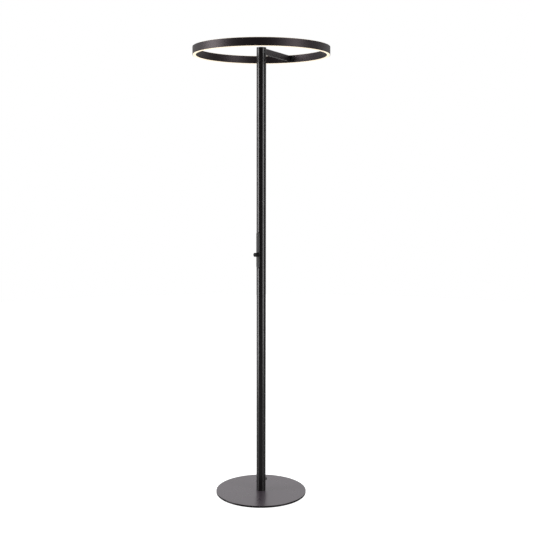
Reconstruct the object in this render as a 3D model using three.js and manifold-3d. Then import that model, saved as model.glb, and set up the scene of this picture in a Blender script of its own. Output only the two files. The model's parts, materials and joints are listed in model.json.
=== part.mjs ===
// Ring floor lamp: a round steel foot, a pole of three screwed tubes, and a slim luminous
// ring that a short arm carries from the back of the pole. The arm turns in a friction
// swivel, and a rotary dimmer sits under a slim plate at hand height.
// Millimetres, +Z up, origin on the floor under the pole, arm towards +Y.

import * as THREE from 'three';
import { mergeVertices } from 'three/addons/utils/BufferGeometryUtils.js';
import Module from 'manifold-3d';

const wasm = await Module();
wasm.setup();

// ---------------------------------------------------------------- driving dimensions

const totalHeight = 1800;        // floor to the top of the ring's upper diffuser

const gap = 0.3;                 // between pieces that are fixed to each other
const boltClearance = 0.3;       // round a screw in its hole

const footRadius = 184.5;
const footThickness = 6;
const footEdge = 1;              // bevel round the plate's upper rim
const padRadius = 10;
const padThickness = 1.5;
const padInset = 16;             // pad centre from the foot's rim
const padCount = 6;

const poleRadius = 19;
const poleWall = 1.5;
const couplerLength = 70;
const couplerWall = 3;
const capRim = 4.5;              // height of the cap that shows above the pole
const capWall = 2;
const footPlugHeight = 22;

const footScrewRadius = 3;       // M6
const footScrewHead = 6;
const footScrewCount = 3;

const glandHeight = 43;          // cable gland's axis above the floor
const glandThreadRadius = 6;
const glandBore = 3.8;
const flexRadius = 3;            // the mains flex that the gland is made for
const glandReach = 24;           // how far the gland stands out of the pole
const glandCapRadius = 8.2;
const glandFlange = 3;

const plateLength = 145.5;
const plateWidth = 20;
const plateThickness = 1.6;
const plateTurn = 19.5;          // degrees from -Y towards -X
const plateAboveTubeMiddle = 101;
const knobBelowPlateMiddle = 18;
const knobRadius = 8.5;
const knobHeight = 14.9;
const shaftRadius = 2.5;
const bushingWall = 1.3;
const dimmerNutHeight = 2;
const slotWidth = 14;
const slotLength = 100;
const plateScrewRadius = 1.5;    // M3
const plateScrewInset = 12;      // screw from the plate's end

const driverLength = 220;
const driverDepth = 18;
const driverFoam = 3;            // least foam between the driver's corners and the pole
const leadRadius = 2;

const ringRadius = 270;          // outside
const ringBand = 14;             // radial width
const ringHeight = 30.2;
const ringWall = 1.5;
const chamberHeight = 10;        // between the ring's two webs
const diffuserThickness = 2.5;
const diffuserProud = 0.8;       // how far a diffuser stands out of its channel
const stripThickness = 1.2;
const stripWidth = 8;

const armWidth = 15;
const armHeight = 23;
const armWall = 1.5;
const armRise = 2.4;             // arm's axis above the ring's middle
const armBlockLength = 18;
const spindleRadius = 5;         // M10 hollow lamp thread
const spindleBore = 3.5;
const spindleNutFlats = 14;
const spindleNutHeight = 4;
const springThickness = 1;
const collarRadius = 10;
const collarReach = 5;           // collar's outer face from the pole's surface
const washerThickness = 0.8;
const headBlockHeight = 38;
const headBlockCover = 1;         // head block above the spindle
const pocketWidth = 18;
const pocketWallThickness = 9;   // head block between its pocket and the pole's wall

const bracketWidth = 54;
const bracketInset = 1;          // bracket's edge from the ring's edge
const bracketThickness = 3;
const bracketScrewSpacing = 38;
const spliceLength = 70;
const spliceThickness = 4;
const headScrewRadius = 2;       // M4
const wireHoleRadius = 2.5;      // the ring lead's way through the bracket and the ring

const ringSegments = 64;
const tubeSegments = 32;
const smallSegments = 16;

// ---------------------------------------------------------------- worked-out places

const footBottom = padThickness + gap;
const footTop = footBottom + footThickness;
const poleBottom = footTop + gap;
const channelTop = totalHeight - diffuserProud;   // top of the ring's channel and of the cap
const poleTop = channelTop - capRim - gap;
const tubeLength = (poleTop - poleBottom - 2 * gap) / 3;
const middleTubeBottom = poleBottom + tubeLength + gap;
const upperTubeBottom = middleTubeBottom + tubeLength + gap;
const poleBore = poleRadius - poleWall;
const insertRadius = poleBore - gap;          // what slides into the pole

const ringMiddle = channelTop - ringHeight / 2;
const ringInner = ringRadius - ringBand;
const armAxis = ringMiddle + armRise;
const headBlockTop = armAxis + spindleRadius + headBlockCover;

const plateMiddle = middleTubeBottom + tubeLength / 2 + plateAboveTubeMiddle;
const plateInner = poleRadius + gap;
const plateOuter = plateInner + plateThickness;

// ---------------------------------------------------------------- shape tools

// A closed three.js geometry as a manifold solid
function solid(geometry) {
  const bare = geometry.clone();
  bare.deleteAttribute('normal');
  bare.deleteAttribute('uv');
  const merged = mergeVertices(bare, 1e-4);
  const index = merged.index.array;
  const kept = [];
  for (let i = 0; i < index.length; i += 3) {
    const [a, b, c] = [index[i], index[i + 1], index[i + 2]];
    if (a !== b && b !== c && c !== a) kept.push(a, b, c);
  }
  return new wasm.Manifold(new wasm.Mesh({
    numProp: 3,
    vertProperties: new Float32Array(merged.attributes.position.array),
    triVerts: new Uint32Array(kept),
  }));
}

function geometryOf(body) {
  const mesh = body.getMesh();
  const geometry = new THREE.BufferGeometry();
  geometry.setAttribute('position', new THREE.BufferAttribute(mesh.vertProperties, 3));
  geometry.setIndex(new THREE.BufferAttribute(mesh.triVerts, 1));
  geometry.computeVertexNormals();
  return geometry;
}

// Upright cylinder between two heights
function rod(radius, low, high, segments = smallSegments) {
  const geometry = new THREE.CylinderGeometry(radius, radius, high - low, segments);
  geometry.rotateX(Math.PI / 2).translate(0, 0, (low + high) / 2);
  return solid(geometry);
}

function pipe(outer, inner, low, high, segments = smallSegments) {
  return rod(outer, low, high, segments).subtract(rod(inner, low - 1, high + 1, segments));
}

// Hexagonal prism given across its flats
function hexagon(flats, low, high) {
  return rod(flats / Math.sqrt(3), low, high, 6);
}

function block([x0, y0, z0], [x1, y1, z1]) {
  const geometry = new THREE.BoxGeometry(x1 - x0, y1 - y0, z1 - z0);
  geometry.translate((x0 + x1) / 2, (y0 + y1) / 2, (z0 + z1) / 2);
  return solid(geometry);
}

// Turned piece: [radius, height] points from the bottom of the axis to its top
function turned(points, segments = smallSegments) {
  const profile = points.map(([r, z]) => new THREE.Vector2(r, z));
  return solid(new THREE.LatheGeometry(profile, segments).rotateX(Math.PI / 2));
}

// Ring of rectangular section round the Z axis
function band(inner, outer, low, high) {
  return pipe(outer, inner, low, high, ringSegments);
}

// Upright stretch of sheathed lead
const lead = (low, high) => rod(leadRadius, low, high, 8);

// Lead through a list of points, with three short steps from each point to the next
function bentLead(points) {
  const path = new THREE.CatmullRomCurve3(points.map((p) => new THREE.Vector3(...p)));
  path.getUtoTmapping = (u) => u;
  const section = new THREE.Shape();
  section.absarc(0, 0, leadRadius, 0, 2 * Math.PI);
  return solid(new THREE.ExtrudeGeometry(section, {
    extrudePath: path, steps: 3 * (points.length - 1), curveSegments: 4, bevelEnabled: false,
  }));
}

// Turn an upright piece so that its +Z points along +Y (or -Y)
const towardsBack = (body) => body.rotate([-90, 0, 0]);
const towardsFront = (body) => body.rotate([90, 0, 0]);

// Countersunk screw: its head's top at height 0, shank downwards, hexagon socket in the head
function countersunkScrew(shank, head, length) {
  const cone = head - shank;
  return turned([[0, -length], [shank, -length], [shank, -cone], [head, 0], [0, 0]])
    .subtract(hexagon(shank * 1.2, -shank * 0.9, 1));
}

// The hole that such a screw sits in
function countersunkHole(shank, head, length) {
  const cone = head - shank;
  const r = shank + boltClearance;
  const h = head + boltClearance;
  return turned([[0, -length], [r, -length], [r, -cone], [h, 0], [h, 5], [0, 5]]);
}

// ---------------------------------------------------------------- materials

const finish = (color, roughness, metalness) =>
  new THREE.MeshStandardMaterial({ color, roughness, metalness });

const blackPowder = finish(0x2b2828, 0.45, 0.3);
const footPowder = finish(0x474445, 0.6, 0.2);
const steel = finish(0x9a9a9c, 0.35, 1);
const aluminium = finish(0xb6b7ba, 0.4, 1);
const blackScrew = finish(0x1c1b1c, 0.4, 0.8);
const blackPlastic = finish(0x1a1a1b, 0.5, 0);
const greyPlastic = finish(0x3a3a3b, 0.55, 0);
const rubber = finish(0x202020, 0.9, 0);
const nylon = finish(0xd8d6cf, 0.6, 0);
const opal = finish(0xfff3e0, 0.5, 0);
const circuit = finish(0x1e5b3a, 0.5, 0);
const whiteBoard = finish(0xeeeeea, 0.5, 0);
const whitePlastic = finish(0xe6e6e2, 0.5, 0);
const foam = finish(0x55565a, 0.95, 0);
const cable = finish(0x242425, 0.7, 0);

// ---------------------------------------------------------------- groups

const lamp = new THREE.Group();
const control = new THREE.Group();      // faces -Y before it is turned
control.rotation.z = -THREE.MathUtils.degToRad(plateTurn);
control.position.z = plateMiddle;
const head = new THREE.Group();         // the arm and what it carries, the swivel's axis at 0
head.position.z = armAxis;
const ring = new THREE.Group();         // the ring and its bracket, the ring's middle at 0
ring.position.z = ringMiddle;
lamp.add(control, head, ring);

function add(group, name, body, material) {
  const mesh = new THREE.Mesh(geometryOf(body), material);
  mesh.name = name;
  group.add(mesh);
  return mesh;
}

// ---------------------------------------------------------------- foot

function buildFoot() {
  const pitch = insertRadius - footScrewRadius - 3.2;
  const screwAngle = (i) => (360 / footScrewCount) * i + 90;
  const screwPlace = (body, i) => body.translate([pitch, 0, 0]).rotate([0, 0, screwAngle(i)]);

  let plate = turned([
    [0, footBottom], [footRadius - 0.5, footBottom], [footRadius, footBottom + 0.5],
    [footRadius, footTop - footEdge], [footRadius - footEdge, footTop], [0, footTop],
  ], ringSegments);
  let plug = rod(insertRadius, poleBottom, poleBottom + footPlugHeight, tubeSegments);
  const screwLength = footThickness + footPlugHeight - 6;
  for (let i = 0; i < footScrewCount; i++) {
    const hole = countersunkHole(footScrewRadius, footScrewHead, screwLength + 2)
      .rotate([180, 0, 0]).translate([0, 0, footBottom + 0.2]);
    plate = plate.subtract(screwPlace(hole, i));
    plug = plug.subtract(screwPlace(hole, i));
    const screw = countersunkScrew(footScrewRadius, footScrewHead, screwLength)
      .rotate([180, 0, 0]).translate([0, 0, footBottom + 0.2]);
    add(lamp, `base_screw_${i + 1}`, screwPlace(screw, i), steel);
  }
  add(lamp, 'base_plate', plate, footPowder);
  add(lamp, 'foot_plug', plug, steel);

  for (let i = 0; i < padCount; i++) {
    const pad = rod(padRadius, 0, padThickness).translate([footRadius - padInset, 0, 0]);
    add(lamp, `foot_pad_${i + 1}`, pad.rotate([0, 0, (360 / padCount) * (i + 0.5)]), rubber);
  }
}

// ---------------------------------------------------------------- pole

function buildPole() {
  const tube = (bottom) =>
    pipe(poleRadius, poleBore, bottom, bottom + tubeLength, tubeSegments);
  const glandHole = towardsBack(rod(glandThreadRadius + gap, 0, poleRadius + 5))
    .translate([0, 0, glandHeight]);
  add(lamp, 'pole_lower', tube(poleBottom).subtract(glandHole), blackPowder);

  const slot = stadium(slotWidth, slotLength, poleRadius + 5);
  const screwHole = (z) =>
    towardsFront(rod(plateScrewRadius + boltClearance, 0, poleRadius + 5)).translate([0, 0, z]);
  const screwOffset = plateLength / 2 - plateScrewInset;
  const controlCuts = slot.add(screwHole(screwOffset)).add(screwHole(-screwOffset))
    .rotate([0, 0, -plateTurn]).translate([0, 0, plateMiddle]);
  add(lamp, 'pole_middle', tube(middleTubeBottom).subtract(controlCuts), blackPowder);

  const swivelHole = towardsBack(rod(spindleRadius + gap, 0, poleRadius + 5))
    .translate([0, 0, armAxis]);
  add(lamp, 'pole_upper', tube(upperTubeBottom).subtract(swivelHole), blackPowder);

  const seams = { lower: middleTubeBottom, upper: upperTubeBottom };
  for (const [place, seam] of Object.entries(seams)) {
    const coupler = pipe(insertRadius, insertRadius - couplerWall,
      seam - couplerLength / 2, seam + couplerLength / 2, tubeSegments);
    add(lamp, `pole_coupler_${place}`, coupler, steel);
  }

  const cap = turned([
    [0, headBlockTop + gap], [insertRadius, headBlockTop + gap],
    [insertRadius, poleTop + gap], [poleRadius, poleTop + gap],
    [poleRadius, channelTop - 0.6], [poleRadius - 0.6, channelTop], [0, channelTop],
  ], tubeSegments);
  const hollow = rod(insertRadius - capWall, headBlockTop, channelTop - capWall, tubeSegments);
  add(lamp, 'top_cap', cap.subtract(hollow), blackPowder);
}

// Stadium-ended prism from the axis towards -Y, its length upright
function stadium(width, length, reach) {
  const r = width / 2;
  const straight = length / 2 - r;
  const outline = new THREE.Shape();
  outline.absarc(0, straight, r, 0, Math.PI);
  outline.absarc(0, -straight, r, Math.PI, 2 * Math.PI);
  const prism = new THREE.ExtrudeGeometry(outline, {
    depth: reach, curveSegments: 10, bevelEnabled: false,
  });
  return solid(prism.rotateX(Math.PI / 2));
}

// ---------------------------------------------------------------- cable gland

function buildGland() {
  const place = (body) => towardsBack(body).translate([0, 0, glandHeight]);
  const flangeInner = poleRadius + gap;
  const flangeOuter = flangeInner + glandFlange;
  const tip = poleRadius + glandReach;
  const sleeveEnd = tip - 5;
  const nutRadius = glandThreadRadius + 2.4;
  const nutOuter = Math.sqrt(poleBore ** 2 - nutRadius ** 2) - gap;
  const nutInner = nutOuter - 3;

  const body = rod(glandThreadRadius, nutInner - 1, sleeveEnd)
    .add(rod(glandCapRadius, flangeInner, flangeOuter))
    .subtract(rod(glandBore, nutInner - 2, sleeveEnd + 1))
    .subtract(rod(glandBore + 0.8, sleeveEnd - 9, sleeveEnd + 1));
  add(lamp, 'gland_body', place(body), blackPlastic);

  const nut = hexagon(nutRadius * Math.sqrt(3), nutInner, nutOuter)
    .subtract(rod(glandThreadRadius + gap, nutInner - 1, nutOuter + 1));
  add(lamp, 'gland_nut', place(nut), blackPlastic);

  const seal = pipe(glandBore + 0.5, flexRadius + 0.1, sleeveEnd - 9 + gap, sleeveEnd + 0.5);
  add(lamp, 'gland_seal', place(seal), rubber);

  const dome = turned([
    [0, flangeOuter + gap], [glandCapRadius, flangeOuter + gap],
    [glandCapRadius, tip - 3.5], [glandCapRadius - 1, tip - 1.4],
    [glandCapRadius - 2.6, tip], [0, tip],
  ]);
  const cap = dome
    .subtract(rod(glandThreadRadius + gap, flangeOuter, sleeveEnd + 1.2))
    .subtract(rod(glandBore, sleeveEnd, tip + 1));
  add(lamp, 'gland_cap', place(cap), blackPlastic);
}

// ---------------------------------------------------------------- dimmer

function buildControl() {
  const knobZ = -knobBelowPlateMiddle;
  const screwOffset = plateLength / 2 - plateScrewInset;
  const bushingRadius = shaftRadius + gap + bushingWall;
  const atKnob = (body) => towardsFront(body).translate([0, 0, knobZ]);
  const inPole = rod(insertRadius, -plateLength, plateLength, tubeSegments);
  const screwHoles = (hole) =>
    hole.translate([0, 0, screwOffset]).add(hole.translate([0, 0, -screwOffset]));

  const screwHead = plateScrewRadius * 2;
  const screwTop = plateOuter + 0.4;
  const sunkHole = towardsFront(countersunkHole(plateScrewRadius, screwHead, 30)
    .translate([0, 0, screwTop]));
  const curved = pipe(plateOuter, plateInner, -plateLength, plateLength, tubeSegments);
  const plate = curved.intersect(stadium(plateWidth, plateLength, plateOuter + 5))
    .subtract(atKnob(rod(bushingRadius + gap, 0, plateOuter + 5)))
    .subtract(screwHoles(sunkHole));
  add(control, 'control_plate', plate, greyPlastic);

  const screwLength = screwTop - insertRadius + 5;
  const screw = towardsFront(countersunkScrew(plateScrewRadius, screwHead, screwLength)
    .translate([0, 0, screwTop]));
  add(control, 'plate_screw_upper', screw.translate([0, 0, screwOffset]), blackScrew);
  add(control, 'plate_screw_lower', screw.translate([0, 0, -screwOffset]), blackScrew);

  const carrierBack = insertRadius * 0.3;
  const pocketFront = insertRadius - 5.2;
  const pocketHalf = insertRadius * 0.48;
  const pocketEnd = screwOffset - 6;
  const carrierEnd = screwOffset + 6;
  const carrier = inPole
    .intersect(block([-insertRadius, -insertRadius - 1, -carrierEnd],
      [insertRadius, -carrierBack, carrierEnd]))
    .subtract(block([-pocketHalf, -pocketFront, -pocketEnd],
      [pocketHalf, 0, pocketEnd]))
    .subtract(atKnob(rod(bushingRadius + gap, 0, plateOuter + 5)))
    .subtract(screwHoles(towardsFront(
      rod(plateScrewRadius + boltClearance, 0, plateOuter + 5))));
  add(control, 'control_carrier', carrier, blackPlastic);

  const bodyHalf = pocketHalf - gap;
  const bodyFront = pocketFront - gap;
  const bodyDepth = 7.5;
  const nutBottom = plateOuter + gap;
  const nutTop = nutBottom + dimmerNutHeight;
  const dimmer = block([-bodyHalf, -bodyFront, knobZ - 9],
    [bodyHalf, -bodyFront + bodyDepth, knobZ + 9])
    .add(atKnob(rod(bushingRadius, bodyFront - 1, nutTop + 0.8)))
    .subtract(atKnob(rod(shaftRadius + gap, bodyFront - 4, nutTop + 5)));
  add(control, 'dimmer_body', dimmer, steel);

  const nut = hexagon(11, nutBottom, nutTop)
    .subtract(rod(bushingRadius + gap, nutBottom - 1, nutTop + 1));
  add(control, 'dimmer_nut', atKnob(nut), steel);

  const knobBottom = plateOuter + 0.8;
  const knobTop = knobBottom + knobHeight;
  const shaftTop = knobTop - 3;
  const flat = (reach, low, high) => block([reach, -10, low], [reach + 10, 10, high]);
  const shaft = rod(shaftRadius, bodyFront - 3.5, shaftTop)
    .subtract(flat(shaftRadius - 0.6, nutTop + 0.9, shaftTop + 1));
  add(control, 'dimmer_shaft', atKnob(shaft), aluminium);

  const shaftHole = rod(shaftRadius + gap, knobBottom, shaftTop + gap)
    .subtract(flat(shaftRadius + gap - 0.6, knobBottom - 1, shaftTop + 2));
  const knob = turned([
    [0, knobBottom], [knobRadius, knobBottom], [knobRadius, knobTop - 1],
    [knobRadius - 1, knobTop], [0, knobTop],
  ], tubeSegments)
    .subtract(rod(knobRadius - 1.5, knobBottom - 1, nutTop + 1.2))
    .subtract(shaftHole);
  add(control, 'dimmer_knob', atKnob(knob), blackPlastic);

  const board = block([-bodyHalf, -bodyFront + 1.5, knobZ + 12],
    [bodyHalf, -bodyFront + 3.1, pocketEnd - 2]);
  add(control, 'dimmer_board', board, circuit);
  return { carrierEnd };
}

// ---------------------------------------------------------------- driver and leads

function buildElectrics({ carrierEnd }) {
  const driverBottom = glandHeight + 25;
  const driverTop = driverBottom + driverLength;
  const reach = insertRadius - driverFoam;
  const half = { x: Math.sqrt(reach ** 2 - (driverDepth / 2) ** 2), y: driverDepth / 2 };
  const box = (grow, low, high) =>
    block([-half.x - grow, -half.y - grow, low], [half.x + grow, half.y + grow, high]);
  add(lamp, 'led_driver', box(0, driverBottom, driverTop), whitePlastic);

  const padHeight = 25;
  const padLows = { lower: driverBottom + 15, upper: driverTop - 15 - padHeight };
  for (const [place, low] of Object.entries(padLows)) {
    const pad = rod(insertRadius, low, low + padHeight, tubeSegments)
      .subtract(box(gap, low - 1, low + padHeight + 1));
    add(lamp, `driver_pad_${place}`, pad, foam);
  }

  add(lamp, 'driver_lead', lead(driverTop + gap, plateMiddle - carrierEnd - 12), cable);

  // The head's lead comes up through the block's channel and turns onto the swivel's axis
  const bendStart = armAxis - 10;
  const nearSpindle = spindleEnd - gap;
  const bendMiddle = leadChannel + (nearSpindle - leadChannel) * 0.25;
  const headLead = bentLead([
    [0, leadChannel, plateMiddle + carrierEnd + 12],
    [0, leadChannel, bendStart - 30],
    [0, leadChannel, bendStart],
    [0, bendMiddle, armAxis - 2.5],
    [0, nearSpindle - 3, armAxis],
    [0, nearSpindle, armAxis],
  ]);
  add(lamp, 'head_lead', headLead, cable);
}

// ---------------------------------------------------------------- swivel

const pocketWall = insertRadius - pocketWallThickness;      // +Y side of the pocket
const pocketBack = insertRadius - 4;                        // -Y side of the pocket
const leadChannel = -pocketBack / 2 - 2;                    // lead's place across the block
const springOuter = pocketWall - gap;
const nutOuter = springOuter - springThickness - gap;
const spindleEnd = nutOuter - spindleNutHeight - 0.6;
const collarFace = poleRadius + collarReach;
const washerFace = collarFace + gap + washerThickness;
const armStart = washerFace + gap;

function buildSwivel() {
  const atAxis = (body) => towardsBack(body).translate([0, 0, armAxis]);
  const spindleHole = rod(spindleRadius + gap, -2, poleRadius + 5);
  const blockBottom = headBlockTop - headBlockHeight;
  const pocketFloor = armAxis - 13;
  const headBlock = rod(insertRadius, blockBottom, headBlockTop, tubeSegments)
    .subtract(block([-pocketWidth / 2, -pocketBack, pocketFloor],
      [pocketWidth / 2, pocketWall, headBlockTop + 1]))
    .subtract(atAxis(spindleHole))
    .subtract(rod(leadRadius + 1.2, blockBottom - 1, pocketFloor + 1)
      .translate([0, leadChannel, 0]));
  add(lamp, 'head_block', headBlock, aluminium);

  const collar = rod(collarRadius, 0, collarFace)
    .subtract(rod(spindleRadius + gap, -1, collarFace + 1));
  const poleSeat = rod(poleRadius + gap, armAxis - 30, armAxis + 30, tubeSegments);
  add(lamp, 'swivel_collar', atAxis(collar).subtract(poleSeat), blackPowder);

  const washer = pipe(collarRadius - 1, spindleRadius + gap, collarFace + gap, washerFace);
  add(lamp, 'swivel_washer', atAxis(washer), nylon);

  const spring = pipe(spindleRadius + 3, spindleRadius + gap,
    springOuter - springThickness, springOuter);
  add(lamp, 'swivel_spring', atAxis(spring), steel);

  const nut = hexagon(spindleNutFlats, nutOuter - spindleNutHeight, nutOuter)
    .subtract(rod(spindleRadius + gap, nutOuter - spindleNutHeight - 1, nutOuter + 1));
  add(head, 'swivel_nut', towardsBack(nut), steel);

  const spindle = pipe(spindleRadius, spindleBore, spindleEnd, armStart + armBlockLength - 2);
  add(head, 'swivel_spindle', towardsBack(spindle), steel);
}

// ---------------------------------------------------------------- arm and bracket

function buildArm() {
  const half = { x: armWidth / 2, z: armHeight / 2 };
  const bracketInner = ringInner - gap - bracketThickness;
  const armEnd = Math.sqrt(bracketInner ** 2 - half.x ** 2) - 1.5 * gap;
  const inner = { x: half.x - armWall, z: half.z - armWall };
  const tube = block([-half.x, armStart, -half.z], [half.x, armEnd, half.z])
    .subtract(block([-inner.x, armStart - 1, -inner.z], [inner.x, armEnd + 1, inner.z]));
  add(head, 'arm_tube', tube, blackPowder);

  const fill = (low, high) => block([-inner.x + gap, low, -inner.z + gap],
    [inner.x - gap, high, inner.z - gap]);
  const rootBlock = fill(armStart + 0.1, armStart + armBlockLength)
    .subtract(towardsBack(rod(spindleRadius + gap, armStart - 1, armStart + armBlockLength + 1)));
  add(head, 'arm_root_block', rootBlock, aluminium);

  const screwZ = inner.z - gap - headScrewRadius - 1.4;
  const wireHole = towardsBack(rod(wireHoleRadius, armEnd - armBlockLength - 1, ringRadius - 5));
  const screwHole = towardsBack(rod(headScrewRadius + boltClearance,
    armEnd - armBlockLength - 1, armEnd + 1));
  const endBlock = fill(armEnd - armBlockLength, armEnd - 0.1)
    .subtract(wireHole)
    .subtract(screwHole.translate([0, 0, screwZ]))
    .subtract(screwHole.translate([0, 0, -screwZ]));
  add(head, 'arm_end_block', endBlock, aluminium);

  // The bracket hugs the ring's inner wall; the arm's screws come through it from the ring
  const headRadius = headScrewRadius + 1.6;
  const bracketOuter = bracketInner + bracketThickness;
  const sunk = towardsBack(countersunkHole(headScrewRadius, headRadius, 20)
    .translate([0, 0, bracketOuter - 0.3]));
  const sideHole = towardsBack(rod(headScrewRadius + boltClearance, bracketInner - 5,
    bracketOuter + 5));
  const sideAngle = THREE.MathUtils.radToDeg(
    Math.asin(bracketScrewSpacing / 2 / bracketOuter));
  const bracketTop = ringHeight / 2 - bracketInset;
  const bracket = band(bracketInner, bracketOuter, -bracketTop, bracketTop)
    .intersect(block([-bracketWidth / 2, 0, -ringHeight], [bracketWidth / 2, ringRadius, ringHeight]))
    .subtract(sunk.translate([0, 0, armRise + screwZ]))
    .subtract(sunk.translate([0, 0, armRise - screwZ]))
    .subtract(wireHole.translate([0, 0, armRise]))
    .subtract(sideHole.rotate([0, 0, sideAngle]))
    .subtract(sideHole.rotate([0, 0, -sideAngle]));
  add(ring, 'ring_bracket', bracket, blackPowder);

  const armScrew = towardsBack(countersunkScrew(headScrewRadius, headRadius, 14)
    .translate([0, 0, bracketOuter - 0.3]));
  add(head, 'arm_screw_upper', armScrew.translate([0, 0, screwZ]), blackScrew);
  add(head, 'arm_screw_lower', armScrew.translate([0, 0, -screwZ]), blackScrew);

  // Button-head screws, one each side of the arm, tapped into the splice inside the ring
  const buttonRadius = headScrewRadius * 1.9;
  const buttonHeight = 2.2;
  const reach = gap + bracketThickness + gap + ringWall + gap + spliceThickness;
  const button = turned([
    [0, -reach], [headScrewRadius, -reach], [headScrewRadius, 0], [buttonRadius, 0],
    [buttonRadius, buttonHeight * 0.45], [buttonRadius * 0.72, buttonHeight],
    [0, buttonHeight],
  ]).subtract(hexagon(headScrewRadius * 1.25, 0.6, buttonHeight + 1));
  const seated = towardsFront(button).translate([0, bracketInner - 2 * gap, 0]);
  add(ring, 'bracket_screw_left', seated.rotate([0, 0, sideAngle]), blackScrew);
  add(ring, 'bracket_screw_right', seated.rotate([0, 0, -sideAngle]), blackScrew);
  return sideHolesThrough(sideAngle);
}

// Both bracket screws' holes, long enough for the ring's wall and the splice
function sideHolesThrough(angle) {
  const hole = towardsBack(rod(headScrewRadius + boltClearance, ringInner - 8,
    ringInner + ringWall + spliceThickness + 2));
  return hole.rotate([0, 0, angle]).add(hole.rotate([0, 0, -angle]));
}

// ---------------------------------------------------------------- ring

function buildRing(sideHoles) {
  const top = ringHeight / 2;
  const web = chamberHeight / 2 + ringWall;
  const innerFace = ringInner + ringWall;
  const outerFace = ringRadius - ringWall;
  const wireHole = towardsBack(rod(wireHoleRadius, ringInner - 5, ringRadius - 5))
    .translate([0, 0, armRise]);
  const seam = block([-gap / 2, 0, -ringHeight], [gap / 2, ringRadius + 5, ringHeight]);
  const feedHole = rod(leadRadius + 0.5, -web - 1, web + 1)
    .translate([0, (innerFace + outerFace) / 2, 0]).rotate([0, 0, 12]);
  const channel = band(ringInner, ringRadius, -top, top)
    .subtract(band(innerFace, outerFace, web, top + 1))
    .subtract(band(innerFace, outerFace, -top - 1, -web))
    .subtract(band(innerFace, outerFace, -web + ringWall, web - ringWall))
    .subtract(wireHole)
    .subtract(sideHoles)
    .subtract(seam)
    .subtract(feedHole);
  add(ring, 'ring_channel', channel, blackPowder);

  const spliceInner = innerFace + gap;
  const spliceHigh = chamberHeight / 2 - gap;
  const notch = block([-wireHoleRadius, ringInner, armRise],
    [wireHoleRadius, ringRadius, ringHeight]);
  const splice = band(spliceInner, spliceInner + spliceThickness, -spliceHigh, spliceHigh)
    .intersect(block([-spliceLength / 2, 0, -ringHeight], [spliceLength / 2, ringRadius, ringHeight]))
    .subtract(wireHole)
    .subtract(notch)
    .subtract(sideHoles);
  add(ring, 'ring_splice', splice, steel);

  const middle = (innerFace + outerFace) / 2;
  const cover = (low, high) => band(innerFace + gap, outerFace - gap, low, high);
  const strip = (low, high) =>
    band(middle - stripWidth / 2, middle + stripWidth / 2, low, high);
  const stripLow = web + gap;
  add(ring, 'led_strip_top', strip(stripLow, stripLow + stripThickness), whiteBoard);
  add(ring, 'led_strip_bottom', strip(-stripLow - stripThickness, -stripLow), whiteBoard);
  const face = top + diffuserProud;
  add(ring, 'diffuser_top', cover(face - diffuserThickness, face), opal);
  add(ring, 'diffuser_bottom', cover(-face, -face + diffuserThickness), opal);

  const ringLead = towardsBack(lead(spindleEnd + 1, middle));
  add(head, 'ring_lead', ringLead, cable);
}

buildFoot();
buildPole();
buildGland();
buildElectrics(buildControl());
buildSwivel();
buildRing(buildArm());

export default lamp;
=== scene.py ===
"""Ring floor lamp: a powder-coated steel foot and pole, and a slim luminous ring on a tilting arm.

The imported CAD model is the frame. The pieces that show are remade here with fine edges and real
finishes, each in the place of its CAD node; the pieces inside keep their CAD shape.
"""

import json
import math

import bmesh
import bpy
from mathutils import Matrix, Vector


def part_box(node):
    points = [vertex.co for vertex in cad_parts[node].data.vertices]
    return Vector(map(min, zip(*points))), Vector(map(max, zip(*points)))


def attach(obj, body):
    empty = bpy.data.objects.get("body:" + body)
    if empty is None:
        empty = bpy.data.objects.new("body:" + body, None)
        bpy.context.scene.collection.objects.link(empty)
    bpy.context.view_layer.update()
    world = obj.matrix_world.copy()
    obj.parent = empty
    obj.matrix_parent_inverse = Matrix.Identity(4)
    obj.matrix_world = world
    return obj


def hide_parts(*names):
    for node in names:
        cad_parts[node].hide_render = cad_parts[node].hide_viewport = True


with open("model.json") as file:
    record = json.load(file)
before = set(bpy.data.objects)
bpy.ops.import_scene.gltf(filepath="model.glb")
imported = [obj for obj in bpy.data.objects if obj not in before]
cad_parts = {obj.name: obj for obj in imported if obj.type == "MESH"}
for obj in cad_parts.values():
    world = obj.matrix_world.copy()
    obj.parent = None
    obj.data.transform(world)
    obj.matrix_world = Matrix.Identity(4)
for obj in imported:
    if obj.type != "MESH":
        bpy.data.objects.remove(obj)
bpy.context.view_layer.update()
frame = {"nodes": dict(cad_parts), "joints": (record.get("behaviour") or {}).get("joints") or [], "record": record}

# ---------------------------------------------------------------- camera
# A standing camera a little below the ring, 3.5 m off, turned so that the arm runs away from it
# to the right. Its 60 mm lens keeps the pole straight.

MM = 0.001
view_turn, view_down, view_roll = math.radians(25.6), math.radians(6.01), math.radians(0.09)
view_distance, view_sideways, view_height = 3.5475, 0.0253, 1.3045
to_camera = Vector((math.sin(view_turn), -math.cos(view_turn), 0))
to_right = Vector((math.cos(view_turn), math.sin(view_turn), 0))

camera = bpy.data.objects.new("camera", bpy.data.cameras.new("camera"))
camera.data.sensor_width = 36
camera.data.lens = 59.6
camera.data.clip_end = 60
camera.location = (to_camera * view_distance + to_right * view_sideways
                   + Vector((0, 0, view_height)))
camera.rotation_euler = (Matrix.Rotation(view_turn, 3, "Z")
                         @ Matrix.Rotation(math.radians(90) - view_down, 3, "X")
                         @ Matrix.Rotation(view_roll, 3, "Z")).to_euler()
bpy.context.collection.objects.link(camera)
bpy.context.scene.camera = camera

# ---------------------------------------------------------------- studio
# A white sweep under and behind the lamp, dark behind the camera, with a tall softbox at each
# side and a weaker one that fills on the right. The satin coat shows the pair as the two bright
# stripes along the pole.

bpy.context.scene.view_settings.view_transform = "Standard"


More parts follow.
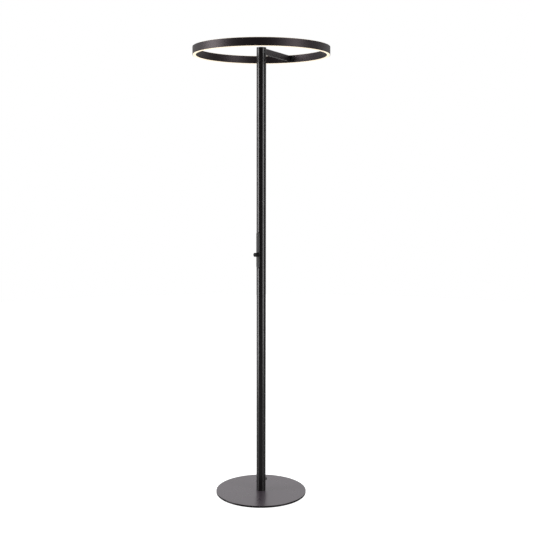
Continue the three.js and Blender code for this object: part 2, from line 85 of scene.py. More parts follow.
def linear(code):
    """An sRGB hex colour as the linear colour that shaders take."""
    parts = [int(code[i:i + 2], 16) / 255 for i in (1, 3, 5)]
    curve = [c / 12.92 if c <= 0.04045 else ((c + 0.055) / 1.055) ** 2.4 for c in parts]
    return (*curve, 1.0)


def add_node(tree, kind, settings=None, **inputs):
    """Adds a node; a socket among the inputs is linked, any other value is set."""
    node = tree.nodes.new(kind)
    for key, value in (settings or {}).items():
        setattr(node, key, value)
    for key, value in inputs.items():
        place = int(key[1:]) if key[0] == "i" and key[1:].isdigit() else key.replace("_", " ")
        if isinstance(value, bpy.types.NodeSocket):
            tree.links.new(value, node.inputs[place])
        else:
            node.inputs[place].default_value = value
    return node


# The sky is bright behind the lamp and dim behind the camera. A dark strip along the horizon
# straight behind keeps the pole's rims dark, and it fades out to both sides and above.
backdrop_light, front_light = 1.2, 0.06
strip_light, flank_light = 0.03, 0.42

world = bpy.data.worlds.new("studio")
world.use_nodes = True
bpy.context.scene.world = world
sky = world.node_tree
sky.nodes.clear()
direction = add_node(sky, "ShaderNodeTexCoord").outputs["Generated"]
frontness = add_node(sky, "ShaderNodeVectorMath", {"operation": "DOT_PRODUCT"},
                     i0=direction, i1=to_camera).outputs["Value"]
falloff = add_node(sky, "ShaderNodeMapRange", {"interpolation_type": "SMOOTHSTEP"},
                   Value=frontness, From_Min=-0.5, From_Max=0.15, To_Min=backdrop_light,
                   To_Max=front_light)
height = add_node(sky, "ShaderNodeSeparateXYZ", Vector=direction).outputs["Z"]
slope = add_node(sky, "ShaderNodeMath", {"operation": "ABSOLUTE"}, i0=height)
skirt = add_node(sky, "ShaderNodeMapRange", {"interpolation_type": "SMOOTHSTEP"},
                 Value=slope.outputs[0], From_Min=0.09, From_Max=0.3, To_Min=0.0, To_Max=1.0)
flanks = add_node(sky, "ShaderNodeMapRange", {"interpolation_type": "SMOOTHSTEP"},
                  Value=frontness, From_Min=-0.985, From_Max=-0.86, To_Min=strip_light,
                  To_Max=flank_light)
opening = add_node(sky, "ShaderNodeMath", {"operation": "MAXIMUM"},
                   i0=skirt.outputs["Result"], i1=flanks.outputs["Result"])
glow = add_node(sky, "ShaderNodeMath", {"operation": "MULTIPLY"},
                i0=falloff.outputs["Result"], i1=opening.outputs[0])
seen = add_node(sky, "ShaderNodeLightPath").outputs["Is Camera Ray"]
strength = add_node(sky, "ShaderNodeMath", {"operation": "MAXIMUM"},
                    i0=glow.outputs[0], i1=seen)
sweep = add_node(sky, "ShaderNodeBackground", Color=(1, 1, 1, 1), Strength=strength.outputs[0])
add_node(sky, "ShaderNodeOutputWorld", Surface=sweep.outputs[0])

# The paper shows pure white, except in a disc under the foot: a painted shadow, where the white is left off and
# the floor shows only the real shade it gets. From below it is clear.
floor_radius, painted_shadow_radius = 6, 0.1842

floor_paper = bpy.data.materials.new("white sweep paper")
floor_paper.use_nodes = True
paper = floor_paper.node_tree
paper.nodes.clear()
seen = add_node(paper, "ShaderNodeLightPath").outputs["Is Camera Ray"]
place = add_node(paper, "ShaderNodeTexCoord").outputs["Object"]
out = add_node(paper, "ShaderNodeVectorMath", {"operation": "LENGTH"}, i0=place)
# Painted shadow: inside the foot's radius the camera's white is left off.
outside_painted_shadow = add_node(paper, "ShaderNodeMath", {"operation": "GREATER_THAN"},
                      i0=out.outputs["Value"], i1=painted_shadow_radius)
lift = add_node(paper, "ShaderNodeMath", {"operation": "MULTIPLY"}, i0=seen,
                i1=outside_painted_shadow.outputs[0])
satin = add_node(paper, "ShaderNodeBsdfPrincipled", Base_Color=linear("#8C8C8C"),
                 Roughness=0.3, Emission_Color=(1, 1, 1, 1), Emission_Strength=lift.outputs[0])
below = add_node(paper, "ShaderNodeNewGeometry").outputs["Backfacing"]
clear = add_node(paper, "ShaderNodeBsdfTransparent")
one_way = add_node(paper, "ShaderNodeMixShader", Fac=below, i1=satin.outputs[0],
                   i2=clear.outputs[0])
add_node(paper, "ShaderNodeOutputMaterial", Surface=one_way.outputs[0])

floor_mesh = bpy.data.meshes.new("floor")
bm = bmesh.new()
bmesh.ops.create_circle(bm, cap_ends=True, radius=floor_radius, segments=96)
bm.to_mesh(floor_mesh)
bm.free()
floor_mesh.materials.append(floor_paper)
floor = bpy.data.objects.new("floor", floor_mesh)
bpy.context.collection.objects.link(floor)


def softbox(name, turn, distance, width, power):
    """A tall area light, placed round the lamp by degrees to the right of the camera."""
    height = 2.9
    lamp = bpy.data.lights.new(name, "AREA")
    lamp.shape = "RECTANGLE"
    lamp.size, lamp.size_y = width, height
    lamp.energy = power
    a = math.radians(turn)
    away = to_camera * math.cos(a) + to_right * math.sin(a)
    holder = bpy.data.objects.new(name, lamp)
    holder.location = away * distance + Vector((0, 0, height / 2))
    holder.rotation_euler = (-away).to_track_quat("-Z", "Y").to_euler()
    bpy.context.collection.objects.link(holder)


softbox("left softbox", turn=-79, distance=2.1, width=0.95, power=64)
softbox("right softbox", turn=56, distance=2.4, width=0.75, power=36)
softbox("right fill", turn=38, distance=3.2, width=1.0, power=15)

# ---------------------------------------------------------------- foot
# The foot is a 6 mm steel disc, laser cut, its rim eased and the whole powder coated in a
# fine-textured dark grey. Three countersunk screws hold it to the pole from beneath.


def spun(profile, steps, centre=(0, 0, 0), axis=(0, 0, 1)):
    """Turns an outline of (radius, height) points, in mm, round an axis into a closed shape."""
    bm = bmesh.new()
    ring = [bm.verts.new((r * MM, 0, z * MM)) for r, z in profile]
    for a, b in zip(ring, ring[1:]):
        bm.edges.new((a, b))
    if profile[0][0] > 0:
        bm.edges.new((ring[-1], ring[0]))
    bmesh.ops.spin(bm, geom=bm.verts[:] + bm.edges[:], cent=(0, 0, 0), axis=(0, 0, 1),
                   angle=math.tau, steps=steps, use_merge=True)
    bmesh.ops.remove_doubles(bm, verts=bm.verts[:], dist=1e-6)
    bmesh.ops.recalc_face_normals(bm, faces=bm.faces[:])
    turn = Vector((0, 0, 1)).rotation_difference(Vector(axis)).to_matrix().to_4x4()
    return moved(bm, Matrix.Translation(centre) @ turn)


def moved(bm, matrix):
    """Moves a whole shape and gives it back."""
    bmesh.ops.transform(bm, matrix=matrix, verts=bm.verts[:])
    return bm


def ease(bm, width_mm, segments=3, sharper_than=50):
    """Rounds every edge that turns by more than the given angle."""
    sharp = [e for e in bm.edges
             if len(e.link_faces) == 2 and e.calc_face_angle() > math.radians(sharper_than)]
    bmesh.ops.bevel(bm, geom=sharp, offset=width_mm * MM, offset_type="OFFSET",
                    affect="EDGES", segments=segments, profile=0.5, material=-1,
                    clamp_overlap=True)
    return bm


def made(name, bm, smooth_below=40):
    """The finished bmesh as an object whose place is in its mesh."""
    for face in bm.faces:
        face.smooth = True
    for edge in bm.edges:
        if len(edge.link_faces) == 2:
            edge.smooth = edge.calc_face_angle() < math.radians(smooth_below)
    mesh = bpy.data.meshes.new(name)
    bm.to_mesh(mesh)
    bm.free()
    piece = bpy.data.objects.new(name, mesh)
    bpy.context.collection.objects.link(piece)
    return piece


def less(bm, *cutters):
    """Cuts each cutter out of a shape and gives the result back as a bmesh."""
    blank = made("blank", bm)
    tools = [made("tool", cutter) for cutter in cutters]
    for tool in tools:
        step = blank.modifiers.new("cut", "BOOLEAN")
        step.operation, step.solver, step.object = "DIFFERENCE", "EXACT", tool
    ready = blank.evaluated_get(bpy.context.evaluated_depsgraph_get())
    result = bmesh.new()
    result.from_mesh(ready.to_mesh())
    sliver = 0.005 * MM
    bmesh.ops.remove_doubles(result, verts=result.verts[:], dist=sliver)
    bmesh.ops.dissolve_degenerate(result, dist=sliver, edges=result.edges[:])
    for scrap in (blank, *tools):
        bpy.data.objects.remove(scrap)
    return result


def stand_in(name, bm, node, body, material):
    """Makes a piece that stands for a CAD node, rides on its body and wears the given material."""
    piece = made(name, bm)
    even = piece.modifiers.new("even shading", "WEIGHTED_NORMAL")
    even.keep_sharp = True
    piece.data.materials.append(material)
    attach(piece, body)
    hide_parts(node)
    return piece


def extent(node):
    """Lowest and highest corner of a CAD node, in mm."""
    low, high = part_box(node)
    return Vector(low) / MM, Vector(high) / MM


def middle(node):
    """Centre of a CAD node's box, in metres."""
    low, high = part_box(node)
    return (Vector(low) + Vector(high)) / 2


def surface(name, roughness, peel_mm, peel_depth_mm, light, dark, cloud_mm=60, edge=None,
            **sockets):
    """A plain finish: slow shade changes, a slight change of gloss and a fine grain.

    An edge colour, when there is one, is painted shade on the faces that don't look up or down.
    """
    material = bpy.data.materials.new(name)
    material.use_nodes = True
    tree = material.node_tree
    tree.nodes.clear()
    place = add_node(tree, "ShaderNodeTexCoord").outputs["Object"]
    cloud = add_node(tree, "ShaderNodeTexNoise", Vector=place, Scale=1 / (cloud_mm * MM),
                     Detail=4.0)
    shade = add_node(tree, "ShaderNodeMix", {"data_type": "RGBA"}, i0=cloud.outputs["Fac"],
                     i6=linear(dark), i7=linear(light))
    colour = shade.outputs[2]
    # Painted shade: faces that don't look up or down take the edge colour in place of the coat's own.
    if edge:
        normal = add_node(tree, "ShaderNodeNewGeometry").outputs["True Normal"]
        lean = add_node(tree, "ShaderNodeSeparateXYZ", Vector=normal).outputs["Z"]
        level = add_node(tree, "ShaderNodeMath", {"operation": "ABSOLUTE"}, i0=lean)
        coat = add_node(tree, "ShaderNodeMix", {"data_type": "RGBA"}, i0=level.outputs[0],
                        i6=linear(edge), i7=colour)
        colour = coat.outputs[2]
    drift = 0.03
    gloss = add_node(tree, "ShaderNodeMapRange", Value=cloud.outputs["Fac"],
                     To_Min=roughness - drift, To_Max=roughness + drift)
    grain = add_node(tree, "ShaderNodeTexNoise", Vector=place, Scale=1 / (peel_mm * MM),
                     Detail=2.0)
    bump = add_node(tree, "ShaderNodeBump", Height=grain.outputs["Fac"], Strength=1.0,
                    Distance=peel_depth_mm * MM)
    shader = add_node(tree, "ShaderNodeBsdfPrincipled", Base_Color=colour,
                      Roughness=gloss.outputs["Result"], Normal=bump.outputs[0], **sockets)
    add_node(tree, "ShaderNodeOutputMaterial", Surface=shader.outputs[0])
    return material


slot_of = {part["node"]: part["material_slot"] for part in frame["record"]["subparts"]}
# The coat's fine texture spreads the softboxes over the disc as one even grey. Its rim, which they miss, is
# painted near black: painted shade on every face that doesn't look up or down.
foot_coat_and_rim_shade = surface("fine-texture powder coat", 0.28, 0.9, 0.0012, "#433C42", "#393339",
                    edge="#040304", IOR=1.54, Specular_Tint=linear("#FFF3FC"))

foot_low, foot_high = extent("base_plate")
foot_radius = foot_high.x
head, shank, head_depth, past = 6.3, 3.3, 0.2, 1
plate = ease(spun([(0, foot_low.z), (foot_radius, foot_low.z), (foot_radius, foot_high.z),
                   (0, foot_high.z)], 256), 0.4, 2)
countersinks = []
for number in (1, 2, 3):
    centre = middle(f"base_screw_{number}")
    countersinks.append(spun(
        [(0, foot_low.z - past), (head, foot_low.z - past), (head, foot_low.z + head_depth),
         (shank, foot_low.z + head_depth + head - shank), (shank, foot_high.z + past),
         (0, foot_high.z + past)],
        48, (centre.x, centre.y, 0)))
stand_in("foot_plate", less(plate, *countersinks), "base_plate", "stand", foot_coat_and_rim_shade)

# ---------------------------------------------------------------- foot pads
# Six discs of black rubber, moulded and glued under the rim. Each stands on a raised ring and
# keeps the steel off the floor.

# Matt and open-grained, so it takes no highlight beside the coated steel.
rubber = surface("moulded black rubber", 0.75, 0.6, 0.03, "#262626", "#1C1C1C", 15, IOR=1.52)
pad_radius, rim_start, recess = 10, 6, 0.3
for number in range(1, 7):
    name = f"foot_pad_{number}"
    centre, pad_top = middle(name), extent(name)[1].z
    disc = spun([(0, recess), (rim_start, recess), (rim_start + 0.6, 0), (pad_radius, 0),
                 (pad_radius, pad_top), (0, pad_top)], 64, (centre.x, centre.y, 0))
    stand_in(name.replace("foot_pad", "rubber_foot"), ease(disc, 0.25, 2), name, "stand", rubber)

# ---------------------------------------------------------------- foot screws
# M6 countersunk screws with hexagon sockets, zinc plated, their heads just inside the plate.


def socket(flats, depth, centre, axis):
    """The hexagonal hole in a screw's head, as a cutter."""
    bm = bmesh.new()
    bmesh.ops.create_cone(bm, cap_ends=True, segments=6, radius1=flats * MM / math.sqrt(3),
                          radius2=flats * MM / math.sqrt(3), depth=2 * depth * MM)
    turn = Vector((0, 0, 1)).rotation_difference(Vector(axis)).to_matrix().to_4x4()
    return moved(bm, Matrix.Translation(centre) @ turn)


def sunk_screw(shank, head, length, top, axis):
    """A countersunk screw: its head's top face is at a point, its head faces along an axis."""
    tip, land = 0.4, 0.15
    blank = spun([(0, -length), (shank - tip, -length), (shank, tip - length),
                  (shank, shank - head), (head, -land), (head, 0), (0, 0)], 48, top, axis)
    return less(ease(blank, 0.1, 1, 60), socket(shank * 1.15, shank * 0.8, top, axis))


# Bright metal with faint clouds: the small blue-white glint of a plated screw.
zinc = surface("zinc-plated steel", 0.32, 0.5, 0.004, "#B4B6BA", "#9A9CA2", 8, Metallic=1.0)
for number in (1, 2, 3):
    name = f"base_screw_{number}"
    low, high = extent(name)
    centre = middle(name)
    screw = sunk_screw(shank=3, head=6, length=high.z - low.z,
                       top=(centre.x, centre.y, low.z * MM), axis=(0, 0, -1))
    stand_in(f"foot_screw_{number}", screw, name, "stand", zinc)

# ---------------------------------------------------------------- pole
# Three drawn steel tubes, 38 mm across with a 1.5 mm wall, butted so tightly that only a
# hairline shows, satin black. Holes take the gland, the dimmer and the swivel.

# Smooth enough to carry each softbox down the pole as a soft-edged stripe, just ruffled by the
# 2 mm peel that baked powder has.
satin_black = surface("satin black powder coat", 0.22, 2.0, 0.0007, "#191617", "#131112",
                      IOR=1.5)
fit = 0.3   # the gap that the CAD leaves between pieces fixed to each other
pole_radius, pole_wall = extent("pole_lower")[1].x, 1.5
pole_bore = pole_radius - pole_wall


def tube(node):
    """One of the pole's plain tubes, its ends lightly broken."""
    low, high = (corner.z for corner in extent(node))
    wall = spun([(pole_bore, low), (pole_radius, low), (pole_radius, high), (pole_bore, high)],
                96)
    return ease(wall, 0.1, 2)


through = 30   # as far out as a cutter goes, well past the pole's wall


def drill(point, axis, radius, low=0, high=through):
    """A round cutter along an axis, from one distance to another, in mm."""
    return spun([(0, low), (radius, low), (radius, high), (0, high)], 48, point, axis)


def stadium(width, length, near, far):
    """A prism with round ends, its length along Z, from one X to another, in mm."""
    bm = bmesh.new()
    bmesh.ops.create_circle(bm, cap_ends=False, radius=width / 2 * MM, segments=48)
    moved(bm, Matrix.Rotation(math.radians(90), 4, "Y"))
    for vert in bm.verts:
        if abs(vert.co.z) > 1e-7:
            vert.co.z += math.copysign((length - width) / 2 * MM, vert.co.z)
    return raised(bm, near, far)


def raised(bm, near, far):
    """Fills a closed outline in the YZ plane and extrudes it from one X to another, in mm."""
    flat = bmesh.ops.contextual_create(bm, geom=bm.edges[:])["faces"]
    moved(bm, Matrix.Translation((near * MM, 0, 0)))
    grown = bmesh.ops.extrude_face_region(bm, geom=flat)["geom"]
    front = [item for item in grown if isinstance(item, bmesh.types.BMVert)]
    bmesh.ops.translate(bm, verts=front, vec=((far - near) * MM, 0, 0))
    bmesh.ops.recalc_face_normals(bm, faces=bm.faces[:])
    return bm


joint_at = {j["name"]: (Vector(j["pos_m"]), Vector(j["axis"])) for j in frame["joints"]}
knob_centre, knob_axis = joint_at["dimmer_turn"]
arm_centre, arm_axis = joint_at["head_tilt"]
back = Vector((0, 1, 0))

gland_hole, plate_screw_hole, swivel_hole, slot_width, slot_length = 6.3, 1.8, 5.3, 14, 100

gland_centre = Vector((0, 0, middle("gland_cap").z))
lower = less(tube("pole_lower"), drill(gland_centre, back, gland_hole))
stand_in("lower_tube", lower, "pole_lower", "stand", satin_black)

control_turn = Matrix.Rotation(math.atan2(knob_axis.y, knob_axis.x), 4, "Z")
control_centre = Vector((0, 0, middle("control_plate").z))
control_place = Matrix.Translation(control_centre) @ control_turn
plate_screw_centres = [Vector((0, 0, middle("plate_screw_" + end).z))
                       for end in ("upper", "lower")]
slot = moved(stadium(slot_width, slot_length, 0, through), control_place)
screw_drills = [drill(point, knob_axis, plate_screw_hole) for point in plate_screw_centres]
central = less(tube("pole_middle"), slot, *screw_drills)
stand_in("middle_tube", central, "pole_middle", "stand", satin_black)

upper = less(tube("pole_upper"), drill(arm_centre, arm_axis, swivel_hole))
stand_in("upper_tube", upper, "pole_upper", "stand", satin_black)

# ---------------------------------------------------------------- cap
# A turned aluminium cap closes the pole. Its rim is flush with the tube and its top is flat; a
# short skirt centres it in the bore.

cap_low, cap_high = (corner.z for corner in extent("top_cap"))
rim_height, cap_wall = 4.5, 2
rim, skirt = cap_high - rim_height, pole_bore - fit
cap = ease(spun([
    (skirt - cap_wall, cap_low), (skirt, cap_low), (skirt, rim), (pole_radius, rim),
    (pole_radius, cap_high), (0, cap_high), (0, cap_high - cap_wall),
    (skirt - cap_wall, cap_high - cap_wall),
], 96), 0.5)
stand_in("pole_cap", cap, "top_cap", "stand", satin_black)

# ---------------------------------------------------------------- cable gland
# A moulded nylon gland low on the back. Its nose tightens round the flex and has grip ribs;
# the body's flange sits on the tube.

# Spark-eroded grain: a dull, slightly grey black with a broad sheen.
black_plastic = surface("moulded black plastic", 0.42, 0.7, 0.012, "#1A1A1A", "#141414", 12,
                        IOR=1.53)


def ribs(count, radius, offset, low, high, point, axis):
    """A ring of round grooves, as one cutter."""
    bm = bmesh.new()
    bmesh.ops.create_cone(bm, cap_ends=True, segments=16, radius1=radius * MM,
                          radius2=radius * MM, depth=(high - low) * MM)
    moved(bm, Matrix.Translation((offset * MM, 0, (low + high) / 2 * MM)))
    bmesh.ops.spin(bm, geom=bm.verts[:] + bm.edges[:] + bm.faces[:], cent=(0, 0, 0),
                   axis=(0, 0, 1), angle=math.tau * (count - 1) / count, steps=count - 1,
                   use_duplicate=True)
    turn = Vector((0, 0, 1)).rotation_difference(Vector(axis)).to_matrix().to_4x4()
    return moved(bm, Matrix.Translation(point) @ turn)


nose_low, nose_high = (corner.y for corner in extent("gland_cap"))
thread, bore, nose_radius = 6.0, 3.8, extent("gland_cap")[1].x
lip = nose_high - 3.8
nose = spun([
    (thread + fit, nose_low), (nose_radius, nose_low), (nose_radius, nose_high - 4),
    (nose_radius - 1, nose_high - 1.6), (nose_radius - 2.6, nose_high), (bore, nose_high),
    (bore, lip), (thread + fit, lip),
], 96, gland_centre, back)
grip = ribs(count=16, radius=0.7, offset=nose_radius + 0.25, low=nose_low + 1.5,
            high=nose_high - 3.4, point=gland_centre, axis=back)
stand_in("gland_nose", less(ease(nose, 0.3, 2, 30), grip), "gland_cap", "stand", black_plastic)

body_low, body_high = (corner.y for corner in extent("gland_body"))
flange_near, flange, seal_pocket, pocket_depth = pole_radius + fit, 3, bore + 0.8, 9
body = spun([
    (bore, body_low), (thread, body_low), (thread, flange_near), (nose_radius, flange_near),
    (nose_radius, flange_near + flange), (thread, flange_near + flange), (thread, body_high),
    (seal_pocket, body_high), (seal_pocket, body_high - pocket_depth),
    (bore, body_high - pocket_depth),
], 96, gland_centre, back)
stand_in("gland_socket", ease(body, 0.3, 2), "gland_body", "stand", black_plastic)

seal_low, seal_high = (corner.y for corner in extent("gland_seal"))
seal_bore, seal_radius = 3.1, seal_pocket - fit
seal = spun([(seal_bore, seal_low), (seal_radius, seal_low), (seal_radius, seal_high),
             (seal_bore, seal_high)], 64, gland_centre, back)
stand_in("gland_ring", ease(seal, 0.3, 2), "gland_seal", "stand", rubber)

# ---------------------------------------------------------------- dimmer plate
# A slim moulded cover, curved to the pole, over the slot that the dimmer went in by. Dark
# grey, its grain finer than the coat's, with a small black screw at each end.

# A flat mid grey with hardly any sheen, so the cover reads lighter than the coat round it.
grey_plastic = surface("moulded grey plastic", 0.55, 0.7, 0.01, "#3C3C3C", "#343434", 12,
                       IOR=1.53, Specular_IOR_Level=0.2)


def wrapped(bm, half_width, radius, slices):
    """Slices a flat piece upright and bends it round the Z axis to a radius, in mm."""
    for i in range(1, slices):
        across = (2 * i / slices - 1) * half_width * MM
        bmesh.ops.bisect_plane(bm, geom=bm.verts[:] + bm.edges[:] + bm.faces[:],
                               plane_co=(0, across, 0), plane_no=(0, 1, 0), dist=1e-7)
    for vert in bm.verts:
        angle = vert.co.y / (radius * MM)
        vert.co = (vert.co.x * math.cos(angle), vert.co.x * math.sin(angle), vert.co.z)
    sliver = 0.02 * MM
    bmesh.ops.remove_doubles(bm, verts=bm.verts[:], dist=sliver)
    bmesh.ops.dissolve_degenerate(bm, dist=sliver, edges=bm.edges[:])
    return bm


plate_thickness, plate_half_width, shaft_hole = 1.6, 10, 4.4
plate_inner = pole_radius + fit
plate_outer = plate_inner + plate_thickness
plate_low, plate_high = (corner.z for corner in extent("control_plate"))
plate_width = 2 * plate_outer * math.asin(plate_half_width / plate_outer)
screw_top, sink_radius = plate_outer + 0.4, 3.3
sink_start = screw_top - sink_radius + plate_screw_hole
outwards = Vector((1, 0, 0))
sinks = [spun([(0, 0), (plate_screw_hole, 0), (plate_screw_hole, sink_start),
               (sink_radius, screw_top), (sink_radius, through), (0, through)], 48,
              point - control_centre, outwards) for point in plate_screw_centres]
cover = less(ease(stadium(plate_width, plate_high - plate_low, plate_inner, plate_outer), 0.5),
             drill(knob_centre - control_centre, outwards, shaft_hole), *sinks)
cover = moved(wrapped(cover, plate_width / 2, plate_outer, slices=14), control_place)
stand_in("dimmer_plate", cover, "control_plate", "stand", grey_plastic)

# A dark, oily metal gleam that marks the small screws out from the plastic.
black_steel = surface("black-oxide steel", 0.35, 0.4, 0.004, "#2A2A2C", "#202022", 6,
                      Metallic=0.6)
for end, point in zip(("upper", "lower"), plate_screw_centres):
    screw = sunk_screw(shank=1.5, head=3, length=9.1, top=point + knob_axis * screw_top * MM,
                       axis=knob_axis)
    stand_in("dimmer_screw_" + end, screw, "plate_screw_" + end, "stand", black_steel)

# ---------------------------------------------------------------- dimmer knob
# A moulded black knob pressed on the dimmer's flatted shaft: grip grooves round the side, a
# dished face and a pointer groove that shows how far it is turned.

# Velvety and the darkest of the blacks: the knob shows as a shape with no highlight on it.
soft_black = surface("soft-touch black plastic", 0.6, 0.5, 0.008, "#121212", "#0D0D0D", 8,
                     IOR=1.5, Specular_IOR_Level=0.15)
knob_radius, knob_length, knob_clear = 8.5, 14.9, 0.8
knob_low = plate_outer + knob_clear
knob_high = knob_low + knob_length
grip_radius, shaft_fit, shaft_end, hollow = knob_radius - 0.4, 2.8, knob_high - 2.7, 7
knob = ease(spun([
    (hollow, knob_low), (knob_radius, knob_low), (knob_radius, knob_low + 1.2),
    (grip_radius, knob_low + 1.6), (grip_radius, knob_high), (6.4, knob_high),
    (5.6, knob_high - 0.5), (0, knob_high - 0.7), (0, shaft_end), (shaft_fit, shaft_end),
    (shaft_fit, knob_low + 3), (hollow, knob_low + 3),
], 96, knob_centre, knob_axis), 0.35, 3, 40)
grooves = ribs(count=28, radius=0.5, offset=knob_radius, low=knob_low + 2.4,
               high=knob_high + 1, point=knob_centre, axis=knob_axis)
pointer_depth, pointer_width, pointer_length, pointer_out = 1.4, 0.9, 7, 5.5
pointer = bmesh.new()
bmesh.ops.create_cube(pointer, size=MM)
moved(pointer, Matrix.Translation(knob_centre) @ control_turn
      @ Matrix.Translation((knob_high * MM, 0, pointer_out * MM))
      @ Matrix.Diagonal((pointer_depth, pointer_width, pointer_length, 1)))
stand_in("turn_knob", less(knob, grooves, pointer), "dimmer_knob", "knob", soft_black)

# ---------------------------------------------------------------- swivel collar
# A short turned spacer between the pole and the arm, hollowed to the pole's curve. The arm
# turns against it, with a nylon washer between.

collar_face = extent("swivel_collar")[1].y
collar_radius, inside_pole = 10, 10
collar = ease(spun([(swivel_hole, inside_pole), (collar_radius, inside_pole),
                    (collar_radius, collar_face), (swivel_hole, collar_face)], 96,
                   arm_centre, arm_axis), 0.6)
seat = drill(arm_centre, (0, 0, 1), pole_radius + fit, -through, through)
stand_in("arm_collar", less(collar, seat), "swivel_collar", "stand", satin_black)

# ---------------------------------------------------------------- arm
# A rectangular steel tube, 15 by 23 mm with drawn corners, in a matt black coat. A block in
# each end takes the swivel's spindle and the bracket's screws.


def rectangle(width, height, corner):
    """A closed outline with round corners in the YZ plane, in mm."""
    bm = bmesh.new()
    bmesh.ops.create_grid(bm, x_segments=1, y_segments=1, size=0.5)
    moved(bm, Matrix.Rotation(math.radians(90), 4, "Y")
          @ Matrix.Diagonal((height * MM, width * MM, 1, 1)))
    bmesh.ops.bevel(bm, geom=bm.verts[:], offset=corner * MM, offset_type="OFFSET",
                    affect="VERTICES", segments=6, profile=0.5, material=-1)
    bmesh.ops.delete(bm, geom=bm.faces[:], context="FACES_ONLY")
    return bm


# Duller and a little browner than the pole, so the band shows the room as one broad, weak sheen.
head_black = surface("matt black powder coat", 0.42, 2.0, 0.002, "#1F1A1B", "#181415",
                     IOR=1.5, Specular_Tint=linear("#FFECF2"), Specular_IOR_Level=0.4)
arm_low, arm_high = extent("arm_tube")
arm_width, arm_height = arm_high.x - arm_low.x, arm_high.z - arm_low.z
arm_wall, past = 1.5, 1
along_arm = Matrix.Translation(arm_centre) @ Matrix.Rotation(math.radians(90), 4, "Z")
outside = raised(rectangle(arm_width, arm_height, corner=1.6), arm_low.y, arm_high.y)
inside = raised(rectangle(arm_width - 2 * arm_wall, arm_height - 2 * arm_wall, corner=0.4),
                arm_low.y - past, arm_high.y + past)
arm = moved(less(ease(outside, 0.25, 2), inside), along_arm)
stand_in("arm", arm, "arm_tube", "head", head_black)

# ---------------------------------------------------------------- ring bracket
# A pressed steel saddle that hugs the ring's inner wall. The arm is screwed to its middle
# from behind, and a button-head screw each side of the arm holds it to the ring.

ring_outer, ring_band = extent("ring_channel")[1].x, 14
ring_inner = ring_outer - ring_band
bracket_low, bracket_high = (corner.z for corner in extent("ring_bracket"))
bracket_width, bracket_thickness, screw_out = 54, 3, 19
bracket_outer = ring_inner - fit
bracket_inner = bracket_outer - bracket_thickness
saddle = ease(raised(rectangle(bracket_width, bracket_high - bracket_low, corner=3),
                     bracket_inner, bracket_outer), 0.5)
ring_centre = Vector((0, 0, middle("ring_bracket").z))
behind = Matrix.Translation(ring_centre) @ Matrix.Rotation(math.radians(90), 4, "Z")
saddle = moved(wrapped(saddle, bracket_width / 2, bracket_outer, slices=12), behind)
bracket_turn = math.asin(screw_out / bracket_outer)
screw_axes = [Matrix.Rotation(side * bracket_turn, 3, "Z") @ back for side in (1, -1)]
wire_hole, screw_hole, near, far = 2.5, 2.3, bracket_inner - 10, bracket_outer + 10
drills = [drill(ring_centre, axis, screw_hole, near, far) for axis in screw_axes]
saddle = less(saddle, drill(arm_centre, back, wire_hole, near, far), *drills)
stand_in("ring_saddle", saddle, "ring_bracket", "head", satin_black)

shank, button, button_height, end, seat_gap = 2, 3.8, 2.2, -11.2, 0.6
for side, axis in zip(("left", "right"), screw_axes):
    seat_at = ring_centre + axis * (bracket_inner - seat_gap) * MM
    screw = spun([(0, end), (shank - 0.2, end), (shank, end + 0.3), (shank, 0), (button, 0),
                  (button, 0.8), (button - 0.5, 1.6), (button - 1.4, 2.1),
                  (button - 2.2, button_height), (0, button_height)], 48, seat_at, -axis)
    button_top = seat_at - axis * button_height * MM
    screw = less(ease(screw, 0.12, 2, 60),
                 socket(flats=2.5, depth=1.4, centre=button_top, axis=-axis))
    stand_in("saddle_screw_" + side, screw, "bracket_screw_" + side, "head", black_steel)

# ---------------------------------------------------------------- ring
# An aluminium extrusion with two channels back to back, rolled to a circle and coated like
# the arm. Its ends meet in a hairline behind the saddle.

ring_low, ring_high = (corner.z for corner in extent("ring_channel"))
ring_wall, half_core, ring_steps = 1.5, 6.5, 288
groove_inner, groove_outer = ring_inner + ring_wall, ring_outer - ring_wall
ring_middle = (ring_low + ring_high) / 2
channel = ease(spun([
    (ring_inner, ring_low), (groove_inner, ring_low), (groove_inner, ring_middle - half_core),
    (groove_outer, ring_middle - half_core), (groove_outer, ring_low), (ring_outer, ring_low),
    (ring_outer, ring_high), (groove_outer, ring_high), (groove_outer, ring_middle + half_core),
    (groove_inner, ring_middle + half_core), (groove_inner, ring_high), (ring_inner, ring_high),
], ring_steps), 0.25, 2)
seam_width = 0.3
seam = bmesh.new()
bmesh.ops.create_cube(seam, size=MM)
moved(seam, Matrix.Translation((0, (ring_inner + ring_band / 2) * MM, ring_middle * MM))
      @ Matrix.Diagonal((seam_width, 20, 40, 1)))
stand_in("ring_body", less(channel, seam), "ring_channel", "head", head_black)

# ---------------------------------------------------------------- ring covers
# Opal acrylic strips snapped into both channels. They stand a hair proud of the metal and
# glow warm white, up and down.

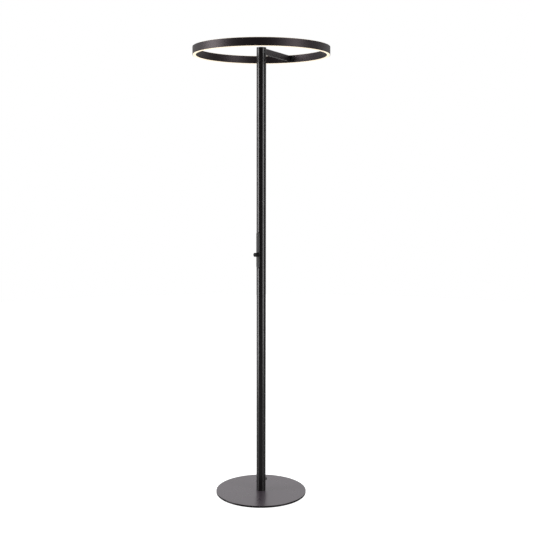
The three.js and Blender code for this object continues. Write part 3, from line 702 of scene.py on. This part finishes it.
# The milky sheet evens out the LEDs behind it to a warm, nearly flat white; a faint drift in the
# brightness keeps it from looking printed.
opal = bpy.data.materials.new("lit opal acrylic")
opal.use_nodes = True
acrylic = opal.node_tree
acrylic.nodes.clear()
place = add_node(acrylic, "ShaderNodeTexCoord").outputs["Object"]
spots = add_node(acrylic, "ShaderNodeTexNoise", Vector=place, Scale=1 / (16 * MM), Detail=1.0)
level = add_node(acrylic, "ShaderNodeMapRange", Value=spots.outputs["Fac"], To_Min=0.92,
                 To_Max=1.0)
shader = add_node(acrylic, "ShaderNodeBsdfPrincipled", Base_Color=linear("#B8B0A0"),
                  Roughness=0.45, IOR=1.49, Emission_Color=linear("#FFEDCF"),
                  Emission_Strength=level.outputs["Result"])
add_node(acrylic, "ShaderNodeOutputMaterial", Surface=shader.outputs[0])

for side in ("top", "bottom"):
    low, high = (corner.z for corner in extent("diffuser_" + side))
    strip = spun([(groove_inner + fit, low), (groove_outer - fit, low),
                  (groove_outer - fit, high), (groove_inner + fit, high)], ring_steps)
    stand_in("ring_cover_" + side, ease(strip, 0.4, 2), "diffuser_" + side, "head", opal)

# ---------------------------------------------------------------- pieces inside
# What the lamp needs to stand and to work, in the CAD's own shapes: plated steel, machined
# aluminium, moulded plastic, a circuit board, white LED tape, foam and sheathed leads.

# Each is plain, and tells the eye its stuff by gloss and grain: aluminium bright and cool, nylon
# waxy, solder mask glassy green, tape and plastic clean white, foam dead matt and pocked with
# cells, drawn at 1.2 mm where real ones are about 0.5, and the sheath a dull, waxy black.
inner_finish = {
    "steel": zinc,
    "aluminium": surface("machined aluminium", 0.34, 0.3, 0.005, "#C4C6C9", "#B2B4B8", 6,
                         Metallic=1.0),
    "black_screw": black_steel,
    "black_plastic": black_plastic,
    "rubber": rubber,
    "nylon": surface("natural nylon", 0.5, 0.5, 0.01, "#DDD9CE", "#D2CEC2", 10, IOR=1.53),
    "circuit": surface("green solder mask", 0.35, 0.8, 0.01, "#1E6B42", "#175535", 5,
                       IOR=1.55),
    "led_strip": surface("white LED tape", 0.45, 0.8, 0.01, "#F2F1EC", "#E4E3DC", 9, IOR=1.5),
    "white_plastic": surface("moulded white plastic", 0.45, 0.7, 0.015, "#E8E7E2", "#DEDDD7",
                             20, IOR=1.53),
    "foam": surface("grey closed-cell foam", 0.95, 1.2, 0.25, "#5C5D61", "#4A4B4F", 6,
                    IOR=1.4),
    "cable": surface("black PVC sheath", 0.5, 0.9, 0.02, "#242424", "#1B1B1B", 15, IOR=1.53),
}
for name, item in frame["nodes"].items():
    item.data.materials.clear()
    item.data.materials.append(inner_finish.get(slot_of[name], satin_black))
